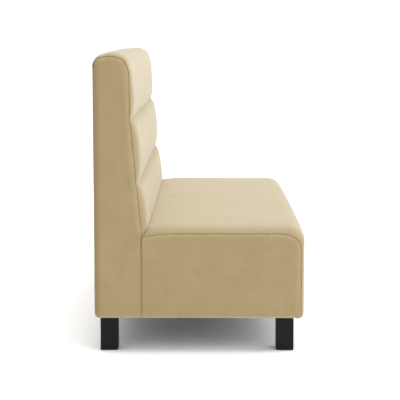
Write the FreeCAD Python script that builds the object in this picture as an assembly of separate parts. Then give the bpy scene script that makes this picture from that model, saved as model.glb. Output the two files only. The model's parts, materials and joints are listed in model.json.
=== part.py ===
import FreeCAD, Part
import math
import os

os.makedirs("parts", exist_ok=True)

# Overall size. The bench stands on z = 0, its length runs along x and it faces -y.
bench_length = 1500.0
bench_depth = 758.0
bench_height = 1080.0
seat_height = 462.0
underside_height = 125.0
back_foot_depth = 168.5

# Cover, end pads and the clearance of soft pieces
cover_thickness = 1.2
soft_gap = 0.3
end_pad_thickness = 8.0
end_pad_round = 5.0
seam_setback = 2.0

# Seat: rise of the crown over the end seam, bulge of the front, rounded corners
seat_crown = 31.0
front_bulge = 15.0
seat_front_radius = 45.0
seat_rear_radius = 40.0
seat_bottom_radius = 14.0
seat_roll_length = 50.0
cover_wrap = 38.0
seat_foam_thickness = 68.0

# Back: crown over the end seam, channels, rake, rounded corners. The channels' heights are
# shares of the back's rise over the seat.
back_crown = 17.5
top_channel_share = 0.3924
channel_share = 0.3657
channel_bulge = 21.0
lower_channel_bulge = 24.0
channel_seam_forward = 4.0
back_upper_depth = 133.0
back_foot_seam_forward = 0.7
back_end_corner = 25.0
back_middle_corner = 37.0
back_bottom_radius = 16.0
back_roll_length = 36.0
foot_rise = 17.0
foot_height = 27.0
end_foot_drop = 6.0
end_foot_height = 13.0
top_foam_thickness = 42.0
channel_valley_foam = 20.0

# Roll of a crown from the end seam to the full section
roll_start_degrees = 15.0
roll_steps = 4

# Timber
plywood = 18.0
rail_thickness = 24.0
bottom_rail_thickness = 18.0
top_rail_thickness = 18.0
back_board_thickness = 9.0
frame_inset = 4.0
seat_divider_setin = 241.0
divider_drop = 11.0
lumbar_rail_height = 70.0
lumbar_rail_thickness = 18.0
lumbar_share = 0.288
outer_panel_thickness = 4.0
outer_cover_thickness = 3.0

# Legs, leg blocks and their bolts
leg_width = 63.0
leg_end_setback = 29.0
front_leg_setback = 41.0
rear_leg_setback = 18.5
leg_corner_radius = 4.0
leg_bottom_radius = 2.0
leg_lift = 2.0
block_width = 95.0
block_height = 38.0
leg_bolt_diameter = 8.0
leg_bolt_in_leg = 35.0
tee_nut_flange_diameter = 22.0
tee_nut_flange_thickness = 1.6
tee_nut_barrel_diameter = 11.0
tee_nut_barrel_length = 12.0

# Levelling glides
glide_pad_diameter = 34.0
glide_pad_height = 6.0
glide_pad_edge = 1.5
glide_pocket_gap = 1.5
glide_stem_diameter = 10.0
glide_stem_length = 34.0
glide_thread_gap = 0.15
glide_nut_diameter = 14.0
glide_nut_length = 15.0
stem_bore_gap = 1.0
stem_bore_spare = 4.0

# Springs under the seat
spring_wire = 3.6
spring_width = 50.0
spring_bars = 25
springs_per_bay = 3
clip_sheet = 1.2
clip_length = 14.0
clip_lip = 6.0
insulator_thickness = 5.0

# Small hardware and fits
hole_gap = 0.1
screw_head_diameter = 9.0
screw_head_height = 4.0
screw_diameter = 5.0
screw_length = 50.0
screw_edge_distance = 40.0
top_screw_edge = 18.0
join_bolt_diameter = 8.0
join_bolt_height = 255.0
join_bolt_head_width = 13.0
join_bolt_head_height = 5.3
washer_diameter = 24.0
washer_thickness = 2.0
dust_cover_thickness = 0.6
dust_cover_margin = 8.0
leg_hole_margin = 3.0
overrun = 10.0

# Places along the upper front outline as shares of the upper depth and of the height
# above the upper channel seam: at the end seam, and where the crown is full
top_end_shares = ((0.996, 0.144), (0.992, 0.300), (0.989, 0.560),
                  (0.962, 0.790), (0.845, 0.945), (0.647, 1.0))
top_middle_shares = ((1.098, 0.126), (1.122, 0.258), (1.095, 0.513),
                     (1.030, 0.757), (0.905, 0.920), (0.600, 1.0))
# Places along a channel as shares of its length and of its bulge
channel_shares = ((0.050, 0.45), (0.195, 0.83), (0.460, 1.0),
                  (0.720, 0.80), (0.880, 0.47), (1.0, 0.0))
lower_channel_shares = ((0.070, 0.45), (0.300, 0.84), (0.640, 1.0), (1.0, 1.0))
join_bolt_shares = (-0.85, -0.3, 0.3, 0.85)

# Places worked out from the sizes above
half_length = bench_length / 2
wall_plane = bench_depth / 2
seam_x = half_length - seam_setback
pad_x = half_length - end_pad_thickness
frame_x = pad_x - plywood
pad_inset = cover_thickness + soft_gap
frame_edge_inset = pad_inset + frame_inset
frame_bottom = underside_height + cover_thickness
frame_rear = outer_cover_thickness + outer_panel_thickness
foam_bottom = seat_height - pad_inset - seat_foam_thickness
insulator_bottom = foam_bottom - insulator_thickness
clip_height = spring_wire + 2 * hole_gap + 2 * clip_sheet
rail_top = insulator_bottom - hole_gap - clip_height
cover_tail = rail_top + soft_gap
top_rail_top = bench_height - pad_inset - top_foam_thickness
back_rise = bench_height - seat_height
upper_seam_height = bench_height - top_channel_share * back_rise
lower_seam_height = upper_seam_height - channel_share * back_rise
lumbar_level = seat_height + lumbar_share * back_rise
foot_seam_depth = back_foot_depth + back_foot_seam_forward
rake = (foot_seam_depth - back_upper_depth) / (upper_seam_height - seat_height)
front_rail_front = bench_depth - front_bulge - frame_edge_inset
front_rail_rear = front_rail_front - rail_thickness
rear_rail_front = back_foot_depth + rail_thickness
bottom_rail_rear = back_foot_depth - bottom_rail_thickness
corner_share = 1 - math.cos(math.pi / 4)
sides = (("left", -1), ("right", 1))


def at(x, forward, height):
    """A point by its place along the bench, distance forward of the wall plane and height."""
    return FreeCAD.Vector(x, wall_plane - forward, height)


def slab(x_range, forward_range, height_range):
    """A rectangular block between the given limits."""
    corner = at(x_range[0], forward_range[1], height_range[0])
    return Part.makeBox(x_range[1] - x_range[0], forward_range[1] - forward_range[0],
                        height_range[1] - height_range[0], corner)


def upright(diameter, x, forward, low, high):
    """A vertical round bar."""
    return Part.makeCylinder(diameter / 2, high - low, at(x, forward, low))


def prism(places, x_range):
    """A straight-sided outline of (forward, height) places, extruded along the bench."""
    corners = [at(x_range[0], *place) for place in places]
    face = Part.Face(Part.makePolygon(corners + corners[:1]))
    return face.extrude(FreeCAD.Vector(x_range[1] - x_range[0], 0, 0))


def joined(shape, others):
    """One shape from several that touch or overlap."""
    return shape.fuse(others).removeSplitter()


def save(name, shape):
    """Write one piece, or one group of alike pieces, under its name."""
    shape.exportStep("parts/" + name + ".step")


# Outlines: a list of places and a string of L for a line and A for an arc through two more


def edge(places, x):
    """A line or arc through two or three places at x; a flat arc is a line."""
    corners = [at(x, *place) for place in places]
    if len(corners) == 3:
        sag = (corners[1] - corners[0]).cross(corners[2] - corners[0]).Length
        if sag > (corners[2] - corners[0]).Length * hole_gap / overrun:
            return Part.Arc(*corners).toShape()
    return Part.LineSegment(corners[0], corners[-1]).toShape()


def edges(places, kinds, x):
    """The edges of an outline at x."""
    made = []
    start = 0
    for kind in kinds:
        step = 2 if kind == "A" else 1
        made.append(edge(places[start:start + step + 1], x))
        start += step
    return made


def closed_wire(places, kinds, x, closing=()):
    """An outline closed by straight runs through the closing places."""
    made = edges(places, kinds, x)
    run = [places[-1], *closing, places[0]]
    made += [edge(pair, x) for pair in zip(run, run[1:])]
    return Part.Wire(made)


def strip_wire(outer, inner, kinds, x):
    """The thin outline between two like outlines."""
    made = edges(outer, kinds, x)
    made.append(edge((outer[-1], inner[-1]), x))
    made += edges(inner[::-1], kinds[::-1], x)
    made.append(edge((inner[0], outer[0]), x))
    return Part.Wire(made)


def inward(places, distance, closed=False):
    """An outline moved inward by a distance, for one that runs up the wall plane first."""
    count = len(places)
    moved = []
    for index, place in enumerate(places):
        before = places[index - 1] if index or closed else None
        after = places[(index + 1) % count] if index < count - 1 or closed else None
        normals = [normal(a, b) for a, b in ((before, place), (place, after)) if a and b]
        across = [sum(n[axis] for n in normals) / len(normals) for axis in (0, 1)]
        scale = distance / (across[0] ** 2 + across[1] ** 2)
        moved.append((place[0] + across[0] * scale, place[1] + across[1] * scale))
    return moved


def normal(start, end):
    """The unit direction to the right of a run, which is into the bench."""
    run = (end[0] - start[0], end[1] - start[1])
    length = math.hypot(*run)
    return run[1] / length, -run[0] / length


def roll_sections(roll_length, first_x):
    """Where the sections of a rolled end lie, and how full the crown is at each."""
    start = math.radians(roll_start_degrees)
    first = math.acos(math.cos(start) * (1 - (seam_x - first_x) / roll_length))
    sections = []
    for step in range(roll_steps + 1):
        angle = first + (math.pi / 2 - first) * step / roll_steps
        x = seam_x - roll_length * (1 - math.cos(angle) / math.cos(start))
        fullness = (math.sin(angle) - math.sin(start)) / (1 - math.sin(start))
        sections.append((x, fullness))
    return sections


def rolled(section, roll_length, first_x):
    """A straight middle between two smooth rolled ends, from a function of x and fullness."""
    ends = roll_sections(roll_length, first_x)
    right = Part.makeLoft([section(x, fullness) for x, fullness in ends], True)
    left = right.mirror(FreeCAD.Vector(0, 0, 0), FreeCAD.Vector(1, 0, 0))
    inner_x = ends[-1][0]
    middle = Part.Face(section(-inner_x, 1)).extrude(FreeCAD.Vector(2 * inner_x, 0, 0))
    return middle.fuse([left, right])


# Seat outline


def seat_outline(fullness, inset, low):
    """Places up the rear, over the top and down the front of the seat, moved in by inset."""
    rear = back_foot_depth + soft_gap + inset
    top = seat_height - seat_crown * (1 - fullness) - inset
    front = bench_depth - front_bulge * (1 - fullness) - inset
    rear_radius = seat_rear_radius - inset
    front_radius = seat_front_radius - inset
    bottom_radius = max(seat_bottom_radius - inset, seat_bottom_radius / 2)
    bottom = underside_height + inset
    rear_bend = rear_radius * corner_share
    front_bend = front_radius * corner_share
    bottom_bend = bottom_radius * corner_share
    return [
        (rear, low),
        (rear, top - rear_radius),
        (rear + rear_bend, top - rear_bend),
        (rear + rear_radius, top),
        (front - front_radius, top),
        (front - front_bend, top - front_bend),
        (front, top - front_radius),
        (front, bottom + bottom_radius),
        (front - bottom_bend, bottom + bottom_bend),
        (front - bottom_radius, bottom),
    ]


seat_kinds = "LALALA"


def seat_cover_section(x, fullness):
    """The seat cover: over the foam, down the front and under the front rail."""
    outer = seat_outline(fullness, 0, cover_tail)
    inner = seat_outline(fullness, cover_thickness, cover_tail)
    wrap_end = bench_depth - cover_wrap
    outer.append((wrap_end, outer[-1][1]))
    inner.append((wrap_end, inner[-1][1]))
    return strip_wire(outer, inner, seat_kinds + "L", x)


def seat_fill_section(x, fullness):
    """Everything inside the seat cover."""
    low = underside_height + pad_inset
    return closed_wire(seat_outline(fullness, pad_inset, low), seat_kinds, x)


def seat_end_wire(inset, low, x):
    """The outline of the seat's end at the seam, moved in by inset."""
    return closed_wire(seat_outline(0, inset, low), seat_kinds, x)


# Back outline


def blend(first, second, fullness):
    """A place between two places."""
    return tuple(a + (b - a) * fullness for a, b in zip(first, second))


def seam_depth(height):
    """How far forward the end seam of the raked front lies at a height."""
    return back_upper_depth + (upper_seam_height - height) * rake


def channel_places(shares, top, bottom, bulge):
    """Places along one channel, bulging square to its chord."""
    out = normal(bottom, top)
    places = []
    for along, proud in shares:
        place = blend(top, bottom, along)
        places.append(tuple(c + out[axis] * bulge * proud for axis, c in enumerate(place)))
    return places


def top_places(shares, seam, crown_height):
    """Places from the crown down the upper front to the upper channel seam."""
    rise = crown_height - seam[1]
    return [(across * back_upper_depth, seam[1] + up * rise) for across, up in shares[::-1]] + [seam]


def seam_places(height, fullness):
    """The channel seam at a height, which comes forward away from the ends."""
    return seam_depth(height) + channel_seam_forward * fullness, height


def back_outline(fullness, low_rear, low_front):
    """Places up the wall plane, over the top and down the channels to the foot."""
    top = bench_height - back_crown * (1 - fullness)
    corner = back_end_corner + (back_middle_corner - back_end_corner) * fullness
    bend = corner * corner_share
    upper = seam_places(upper_seam_height, fullness)
    lower = seam_places(lower_seam_height, fullness)
    end_top = top_places(top_end_shares, upper, bench_height - back_crown)
    middle_top = top_places(top_middle_shares, upper, bench_height)
    front_top = [blend(a, b, fullness) for a, b in zip(end_top, middle_top)]
    middle = channel_places(channel_shares, upper, lower, channel_bulge * fullness)
    end_foot = seat_height - seat_crown - end_foot_drop
    foot_height_now = end_foot + (seat_height + foot_rise - end_foot) * fullness
    foot_top = (seam_depth(foot_height_now), foot_height_now)
    last = channel_places(lower_channel_shares, lower, foot_top, lower_channel_bulge * fullness)
    tuck = back_foot_depth - soft_gap
    drop = end_foot_height + (foot_height - end_foot_height) * fullness
    reach = last[-1][0] - tuck
    foot = [
        (tuck + reach * (1 - corner_share), last[-1][1] - drop * (1 - corner_share)),
        (tuck, last[-1][1] - drop),
        (tuck, low_front),
    ]
    return [(0, low_rear), (0, top - corner), (bend, top - bend), (corner, top),
            *front_top, *middle, *last, *foot]


back_kinds = "LALAAAAAAAAAL"


def back_cover_section(x, fullness):
    """The channelled cover, from the top rail at the rear over to the foot at the front."""
    outer = back_outline(fullness, top_rail_top, cover_tail)
    inner = inward(outer, cover_thickness)
    return strip_wire(outer, inner, back_kinds, x)


def board_front(height):
    """How far forward the front of the back board lies at a height."""
    return seam_depth(height) - channel_valley_foam


def board_rear(height):
    """How far forward the rear of the back board lies at a height."""
    return board_front(height) - back_board_thickness / math.cos(math.atan(rake))


def back_fill_section(x, fullness):
    """The foam between the back board, the top rail and the channelled cover."""
    places = inward(back_outline(fullness, top_rail_top, cover_tail), pad_inset)
    places[0] = (places[0][0], top_rail_top)
    places[-1] = (places[-1][0], cover_tail)
    closing = [(board_front(cover_tail), cover_tail), (board_front(top_rail_top), top_rail_top)]
    return closed_wire(places, back_kinds, x, closing)


def back_end_wire(inset, x):
    """The outline of the back's end at the seam, moved in by inset."""
    bend = back_bottom_radius * corner_share
    low = underside_height
    places = back_outline(0, low + back_bottom_radius, low)
    places += [(back_bottom_radius, low), (bend, low + bend)]
    moved = inward(places, inset, closed=True)
    return Part.Wire(edges(moved + moved[:1], back_kinds + "LA", x))


# Bores for screws, cut from the timber and filled by the screws


def rod(diameter, x, forward, height, length, side):
    """A round bar along the bench from x towards the middle."""
    start = at(x * side, forward, height)
    return Part.makeCylinder(diameter / 2, length, start, FreeCAD.Vector(-side, 0, 0))


def screw_places():
    """Where the end frames are screwed to the rails: (forward, height)."""
    low = frame_bottom + screw_edge_distance
    high = rail_top - screw_edge_distance
    middle = (low + high) / 2
    places = [(front_rail_front - rail_thickness / 2, z) for z in (low, middle, high)]
    places += [(rear_rail_front - rail_thickness / 2, z) for z in (low, middle, high)]
    places += [(back_foot_depth - bottom_rail_thickness / 2, z) for z in (low, middle, high)]
    top_rail_middle = top_rail_top - top_rail_thickness / 2
    places.append((frame_rear + top_screw_edge, top_rail_middle))
    places.append((board_rear(top_rail_top) - top_screw_edge, top_rail_middle))
    lumbar = lumbar_level + lumbar_rail_height / 2
    places.append((board_rear(lumbar) - lumbar_rail_thickness / 2, lumbar))
    return places


def screw(side, forward, height, gap):
    """A flush-headed screw through an end frame, grown by a gap for its bore."""
    head = rod(screw_head_diameter + 2 * gap, pad_x, forward, height, screw_head_height, side)
    shank = rod(screw_diameter + 2 * gap, pad_x, forward, height, screw_length + gap, side)
    return joined(head, [shank])


screws = Part.makeCompound([screw(s, *place, 0) for _, s in sides for place in screw_places()])
screw_bores = [screw(s, *place, hole_gap) for _, s in sides for place in screw_places()]


# Legs and what holds them


def leg_centres():
    """Each leg's name and its centre along the bench and forward of the wall plane."""
    x = half_length - leg_end_setback - leg_width / 2
    front = bench_depth - front_leg_setback - leg_width / 2
    rear = rear_leg_setback + leg_width / 2
    return [(row + "_" + name, side * x, forward)
            for row, forward in (("front", front), ("rear", rear)) for name, side in sides]


pocket_top = glide_pad_height + soft_gap
stem_bottom = glide_pad_height / 2
stem_top = stem_bottom + glide_stem_length
leg_bolt_bottom = frame_bottom - leg_bolt_in_leg
leg_bolt_top = frame_bottom + block_height + tee_nut_flange_thickness


def make_leg(x, forward):
    """A square block leg with a pocket and bores for its glide and bolt."""
    half = leg_width / 2
    leg = slab((x - half, x + half), (forward - half, forward + half), (leg_lift, frame_bottom))
    vertical = [e for e in leg.Edges if abs(e.Vertexes[0].Z - e.Vertexes[1].Z) > half]
    leg = leg.makeFillet(leg_corner_radius, vertical)
    bottom = [e for e in leg.Edges if all(abs(v.Z - leg_lift) < hole_gap for v in e.Vertexes)]
    leg = leg.makeFillet(leg_bottom_radius, bottom)
    pocket = upright(glide_pad_diameter + 2 * glide_pocket_gap, x, forward, 0, pocket_top)
    nut_bore = upright(glide_nut_diameter, x, forward, 0, pocket_top + glide_nut_length)
    stem_bore = upright(glide_stem_diameter + 2 * stem_bore_gap, x, forward, 0,
                        stem_top + stem_bore_spare)
    bolt_bore = upright(leg_bolt_diameter + 2 * hole_gap, x, forward, leg_bolt_bottom - hole_gap,
                        frame_bottom + overrun)
    return leg.cut([pocket, nut_bore, stem_bore, bolt_bore])


def make_glide_nut(x, forward):
    """The threaded insert that the glide's stem screws into."""
    body = upright(glide_nut_diameter, x, forward, pocket_top, pocket_top + glide_nut_length)
    bore = upright(glide_stem_diameter + 2 * glide_thread_gap, x, forward, 0,
                   stem_top + stem_bore_spare)
    return body.cut(bore)


def make_glide_pad(x, forward):
    """The round foot of a glide, with its rim rounded over and a socket for the stem."""
    pad = upright(glide_pad_diameter, x, forward, 0, glide_pad_height)
    rims = [e for e in pad.Edges if e.Closed]
    pad = pad.makeFillet(glide_pad_edge, rims)
    return pad.cut(upright(glide_stem_diameter, x, forward, stem_bottom, glide_pad_height + overrun))


def make_glide_stem(x, forward):
    """The glide's stem, plain where the real one is threaded."""
    stem = upright(glide_stem_diameter, x, forward, stem_bottom, stem_top)
    return stem.makeChamfer(glide_pad_edge, [e for e in stem.Edges if e.Closed and
                                             e.Vertexes[0].Z > stem_top - hole_gap])


def make_block(x, forward):
    """The timber block inside a corner that a leg is bolted to."""
    side = 1 if x > 0 else -1
    x_range = sorted((side * frame_x, side * (frame_x - block_width)))
    if forward > back_foot_depth:
        forward_range = (front_rail_rear - block_width, front_rail_rear)
    else:
        forward_range = (frame_rear, frame_rear + block_width)
    block = slab(x_range, forward_range, (frame_bottom, frame_bottom + block_height))
    bolt = upright(leg_bolt_diameter + 2 * hole_gap, x, forward, 0, bench_height)
    barrel = upright(tee_nut_barrel_diameter + 2 * hole_gap, x, forward,
                     frame_bottom + block_height - tee_nut_barrel_length - hole_gap, bench_height)
    return block.cut([bolt, barrel, rear_foot_corner()])


def make_tee_nut(x, forward):
    """A flanged tee nut let into the top of a leg block."""
    top = frame_bottom + block_height
    flange = upright(tee_nut_flange_diameter, x, forward, top, top + tee_nut_flange_thickness)
    barrel = upright(tee_nut_barrel_diameter, x, forward, top - tee_nut_barrel_length, top)
    bore = upright(leg_bolt_diameter + hole_gap, x, forward, 0, bench_height)
    return joined(flange, [barrel]).cut(bore)


def make_legs():
    """The four legs with their blocks, bolts, nuts and glides."""
    centres = leg_centres()
    for name, x, forward in centres:
        save("leg_" + name, make_leg(x, forward))
        save("leg_block_" + name, make_block(x, forward))
        save("glide_pad_" + name, make_glide_pad(x, forward))
        save("glide_stem_" + name, make_glide_stem(x, forward))
    save("leg_bolts", Part.makeCompound(
        [upright(leg_bolt_diameter, x, y, leg_bolt_bottom, leg_bolt_top) for _, x, y in centres]))
    save("leg_tee_nuts", Part.makeCompound([make_tee_nut(x, y) for _, x, y in centres]))
    save("glide_nuts", Part.makeCompound([make_glide_nut(x, y) for _, x, y in centres]))


# Seat box


def end_plate(wire, x, thickness, side):
    """A plate on an end outline, reaching inward along the bench."""
    return Part.Face(wire).extrude(FreeCAD.Vector(-side * thickness, 0, 0))


def padded_plate(wire, side):
    """An end pad whose outer edge is rounded over."""
    pad = end_plate(wire, side * half_length, end_pad_thickness, side)
    outer = [e for e in pad.Edges if abs(e.BoundBox.XMin - side * half_length) < hole_gap
             and abs(e.BoundBox.XMax - side * half_length) < hole_gap]
    return pad.makeFillet(end_pad_round, outer)


def seat_frame_plate(side):
    """One plywood end frame of the seat box."""
    x = side * pad_x
    wire = seat_end_wire(frame_edge_inset, underside_height + frame_edge_inset, x)
    plate = end_plate(wire, x, plywood, side)
    foot = slab(sorted((x, x - side * plywood)), (back_foot_depth, front_rail_front - seat_bottom_radius),
                (frame_bottom, rail_top))
    return joined(plate, [foot]).cut(screw_bores)


def join_bolt_x():
    """Where the bolts that join the back to the seat box lie along the bench."""
    return [share * frame_x for share in join_bolt_shares]


def cross_bar(diameter, x, front, rear):
    """A round bar across the depth of the bench."""
    return Part.makeCylinder(diameter / 2, front - rear, at(x, front, join_bolt_height),
                             FreeCAD.Vector(0, 1, 0))


def bolt_bores(front, rear):
    """Bores for the joining bolts between two depths."""
    return [cross_bar(join_bolt_diameter + 2 * hole_gap, x, front, rear) for x in join_bolt_x()]


def make_seat_timber(seat_frames):
    """The rails and dividers of the seat box."""
    front_rail = slab((-frame_x, frame_x), (front_rail_rear, front_rail_front),
                      (frame_bottom, rail_top))
    rear_rail = slab((-frame_x, frame_x), (back_foot_depth, rear_rail_front),
                     (frame_bottom, rail_top))
    bores = bolt_bores(rear_rail_front + overrun, back_foot_depth - overrun)
    save("seat_front_rail", front_rail.cut(screw_bores))
    save("seat_rear_rail", rear_rail.cut(screw_bores + bores))
    for name, side in sides:
        centre = side * seat_divider_setin
        divider = slab((centre - plywood / 2, centre + plywood / 2),
                       (rear_rail_front, front_rail_rear), (frame_bottom, rail_top - divider_drop))
        save("seat_divider_" + name, divider)
        save("seat_end_frame_" + name, seat_frames[side])


def make_spring(x, start, pitch, level):
    """One zigzag spring: straight bars along the bench, joined by half-round bends."""
    bend = pitch / 2
    reach = spring_width / 2 - bend
    path = []
    for bar in range(spring_bars):
        side = 1 if bar % 2 else -1
        forward = start + bar * pitch
        path.append(Part.LineSegment(at(x - side * reach, forward, level),
                                     at(x + side * reach, forward, level)).toShape())
        if bar < spring_bars - 1:
            path.append(Part.Arc(at(x + side * reach, forward, level),
                                 at(x + side * (reach + bend), forward + bend, level),
                                 at(x + side * reach, forward + pitch, level)).toShape())
    first = at(x + reach, start, level)
    circle = Part.Wire(Part.makeCircle(spring_wire / 2, first, FreeCAD.Vector(1, 0, 0)))
    return Part.Wire(path).makePipeShell([circle], True, False)


def make_clip(x, forward, side):
    """A folded steel clip that holds a spring's end bar on a rail."""
    inner = spring_wire / 2 + hole_gap
    wall = inner + clip_sheet
    outside = sorted((forward + side * wall, forward - side * clip_lip))
    inside = sorted((forward + side * inner, forward - side * (clip_lip + overrun)))
    x_range = (x - clip_length / 2, x + clip_length / 2)
    body = slab(x_range, outside, (rail_top, rail_top + clip_height))
    return body.cut(slab((x_range[0] - overrun, x_range[1] + overrun), inside,
                         (rail_top + clip_sheet, rail_top + clip_height - clip_sheet)))


def spring_positions():
    """Where the springs lie along the bench: evenly in each bay between frames and dividers."""
    left = seat_divider_setin - plywood / 2
    right = seat_divider_setin + plywood / 2
    bays = ((-frame_x, -right), (-left, left), (right, frame_x))
    return [low + (high - low) * (index + 0.5) / springs_per_bay
            for low, high in bays for index in range(springs_per_bay)]


def make_springs():
    """The seat springs, their clips and the felt insulator on them."""
    start = back_foot_depth + rail_thickness / 2
    end = front_rail_front - rail_thickness / 2
    level = rail_top + clip_height / 2
    pitch = (end - start) / (spring_bars - 1)
    first = make_spring(0, start, pitch, level)
    springs = []
    clips = []
    for x in spring_positions():
        spring = first.copy()
        spring.translate(FreeCAD.Vector(x, 0, 0))
        springs.append(spring)
        clips += [make_clip(x, start, -1), make_clip(x, end, 1)]
    save("seat_springs", Part.makeCompound(springs))
    save("spring_clips", Part.makeCompound(clips))
    save("spring_insulator", slab((-frame_x, frame_x),
                                  (back_foot_depth + 2 * soft_gap + cover_thickness, front_rail_front),
                                  (insulator_bottom, foam_bottom)))


def make_seat_soft(seat_frames):
    """The foam and covers of the seat."""
    fill = rolled(seat_fill_section, seat_roll_length, pad_x)
    wide = (-bench_length, bench_length)
    upper = slab(wide, (0, 2 * bench_depth), (foam_bottom, bench_height))
    lower = slab(wide, (front_rail_front, 2 * bench_depth), (0, foam_bottom))
    frames = [seat_frames[side] for _, side in sides]
    save("seat_foam", fill.common(upper).cut(frames))
    save("front_rail_foam", fill.common(lower))
    save("seat_cover", rolled(seat_cover_section, seat_roll_length, seam_x))
    for name, side in sides:
        wire = seat_end_wire(pad_inset, underside_height + pad_inset, side * half_length)
        save("seat_end_cover_" + name, padded_plate(wire, side))


def make_dust_cover():
    """The thin cloth under the bench, cut out around the legs."""
    x = pad_x - dust_cover_margin
    cloth = slab((-x, x), (back_bottom_radius + soft_gap, bench_depth - cover_wrap - soft_gap),
                 (frame_bottom - dust_cover_thickness, frame_bottom))
    half = leg_width / 2 + leg_hole_margin
    holes = [slab((cx - half, cx + half), (cy - half, cy + half), (0, bench_height))
             for _, cx, cy in leg_centres()]
    save("dust_cover", cloth.cut(holes))


# Back


def rear_foot_corner():
    """What lies outside the rounded lower rear edge, within the outer cover."""
    centre = at(-bench_length, back_bottom_radius, underside_height + back_bottom_radius)
    square = slab((-bench_length, bench_length), (-overrun, back_bottom_radius),
                  (0, underside_height + back_bottom_radius))
    inside = back_bottom_radius - outer_cover_thickness - soft_gap
    return square.cut(Part.makeCylinder(inside, 2 * bench_length, centre, FreeCAD.Vector(1, 0, 0)))


def outer_cover_wire(x):
    """The outer cover: down the rear and round the lower edge."""
    centre = (back_bottom_radius, underside_height + back_bottom_radius)
    outer = [(0, top_rail_top - soft_gap)]
    inner = [(outer_cover_thickness, top_rail_top - soft_gap)]
    for angle in (0, math.pi / 4, math.pi / 2):
        for places, radius in ((outer, back_bottom_radius),
                               (inner, back_bottom_radius - outer_cover_thickness)):
            places.append((centre[0] - radius * math.cos(angle), centre[1] - radius * math.sin(angle)))
    return strip_wire(outer, inner, "LA", x)


def back_frame_plate(side):
    """One plywood side frame of the back."""
    x = side * pad_x
    plate = end_plate(back_end_wire(frame_edge_inset, x), x, plywood, side)
    foot = slab(sorted((x, x - side * plywood)), (frame_rear, back_foot_depth),
                (frame_bottom, rail_top))
    behind = slab((-bench_length, bench_length), (-overrun, frame_rear), (0, bench_height))
    return joined(plate, [foot]).cut([behind, rear_foot_corner()] + screw_bores)


def make_back_timber(back_frames):
    """The frames, ribs, rails, board and outer panel of the back."""
    bottom_rail = slab((-frame_x, frame_x), (bottom_rail_rear, back_foot_depth),
                       (frame_bottom, rail_top))
    bores = bolt_bores(back_foot_depth + overrun, bottom_rail_rear - overrun)
    save("back_bottom_rail", bottom_rail.cut(screw_bores + bores))
    low_top_rail = top_rail_top - top_rail_thickness
    top_rail = prism([(frame_rear, low_top_rail), (board_front(low_top_rail), low_top_rail),
                      (board_front(top_rail_top), top_rail_top), (frame_rear, top_rail_top)],
                     (-frame_x, frame_x))
    save("back_top_rail", top_rail.cut(screw_bores))
    save("back_board", prism([(board_rear(rail_top), rail_top), (board_front(rail_top), rail_top),
                              (board_front(low_top_rail), low_top_rail),
                              (board_rear(low_top_rail), low_top_rail)], (-frame_x, frame_x)))
    lumbar_top = lumbar_level + lumbar_rail_height
    lumbar = prism([(board_rear(lumbar_level) - lumbar_rail_thickness, lumbar_level),
                    (board_rear(lumbar_level), lumbar_level),
                    (board_rear(lumbar_top), lumbar_top),
                    (board_rear(lumbar_top) - lumbar_rail_thickness, lumbar_top)],
                   (-frame_x, frame_x))
    save("back_lumbar_rail", lumbar.cut(screw_bores))
    for name, side in sides:
        centre = side * seat_divider_setin
        rib = prism([(frame_rear, frame_bottom), (bottom_rail_rear, frame_bottom),
                     (bottom_rail_rear, rail_top), (board_rear(rail_top), rail_top),
                     (board_rear(low_top_rail), low_top_rail), (frame_rear, low_top_rail)],
                    (centre - plywood / 2, centre + plywood / 2))
        save("back_rib_" + name, rib.cut([lumbar, rear_foot_corner()]))
        save("back_side_frame_" + name, back_frames[side])
    save("outer_back_panel", slab((-pad_x, pad_x), (outer_cover_thickness, frame_rear),
                                  (underside_height + back_bottom_radius, top_rail_top)))
    outer_x = pad_x - soft_gap
    outer_cover = Part.Face(outer_cover_wire(-outer_x))
    save("outer_back_cover", outer_cover.extrude(FreeCAD.Vector(2 * outer_x, 0, 0)))


def make_back_soft(back_frames):
    """The channel foams and covers of the back."""
    fill = rolled(back_fill_section, back_roll_length, pad_x)
    fill = fill.cut([back_frames[side] for _, side in sides])
    levels = (("lower", 0, lower_seam_height), ("middle", lower_seam_height, upper_seam_height),
              ("top", upper_seam_height, 2 * bench_height))
    for name, low, high in levels:
        band = slab((-bench_length, bench_length), (-bench_depth, bench_depth), (low, high))
        save("back_foam_" + name, fill.common(band))
    pads = {side: padded_plate(back_end_wire(pad_inset, side * half_length), side)
            for _, side in sides}
    inside = [back_frames[side] for _, side in sides] + list(pads.values())
    save("back_channel_cover", rolled(back_cover_section, back_roll_length, seam_x).cut(inside))
    for name, side in sides:
        save("back_end_cover_" + name, pads[side])


def make_joining_hardware():
    """The bolts, washers and tee nuts that join the back to the seat box."""
    bolts = []
    washers = []
    nuts = []
    head_rear = rear_rail_front + washer_thickness
    nut_rear = bottom_rail_rear - tee_nut_flange_thickness
    for x in join_bolt_x():
        head = cross_bar(join_bolt_head_width, x, head_rear + join_bolt_head_height, head_rear)
        shank = cross_bar(join_bolt_diameter, x, head_rear, nut_rear)
        bolts.append(joined(head, [shank]))
        ring = cross_bar(washer_diameter, x, head_rear, rear_rail_front)
        bore = cross_bar(join_bolt_diameter + 2 * hole_gap, x, head_rear + overrun, nut_rear - overrun)
        washers.append(ring.cut(bore))
        flange = cross_bar(tee_nut_flange_diameter, x, bottom_rail_rear, nut_rear)
        nuts.append(flange.cut(bore))
    save("joining_bolts", Part.makeCompound(bolts))
    save("joining_washers", Part.makeCompound(washers))
    save("joining_tee_nuts", Part.makeCompound(nuts))


def main():
    """Make and write every piece."""
    seat_frames = {side: seat_frame_plate(side) for _, side in sides}
    back_frames = {side: back_frame_plate(side) for _, side in sides}
    make_legs()
    make_seat_timber(seat_frames)
    make_springs()
    make_seat_soft(seat_frames)
    make_dust_cover()
    make_back_timber(back_frames)
    make_back_soft(back_frames)
    make_joining_hardware()
    save("frame_screws", screws)


main()
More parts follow.
